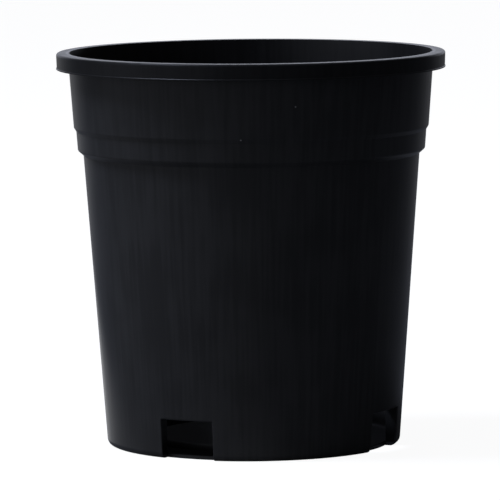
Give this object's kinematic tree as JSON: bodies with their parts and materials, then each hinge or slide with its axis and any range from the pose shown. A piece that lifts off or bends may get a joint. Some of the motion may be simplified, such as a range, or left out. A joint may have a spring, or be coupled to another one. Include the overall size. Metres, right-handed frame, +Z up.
{
  "type": "soft plant pot",
  "caption": "Thin-walled tapered plant pot with a skirted rim, a stepped upper wall and drain slots round its foot.",
  "frame": {"origin": "centre of the circle the pot stands on, at the foot plane", "axes": "+Z up the pot's axis; a drain slot faces each of -Y, +X, +Y and -X"},
  "size_m": [0.17, 0.17, 0.172],
  "materials": {
    "black_plastic": "satin, as moulded, flexible"
  },
  "bodies": {
    "root": {"pot": "black_plastic"}
  },
  "joints": []
}
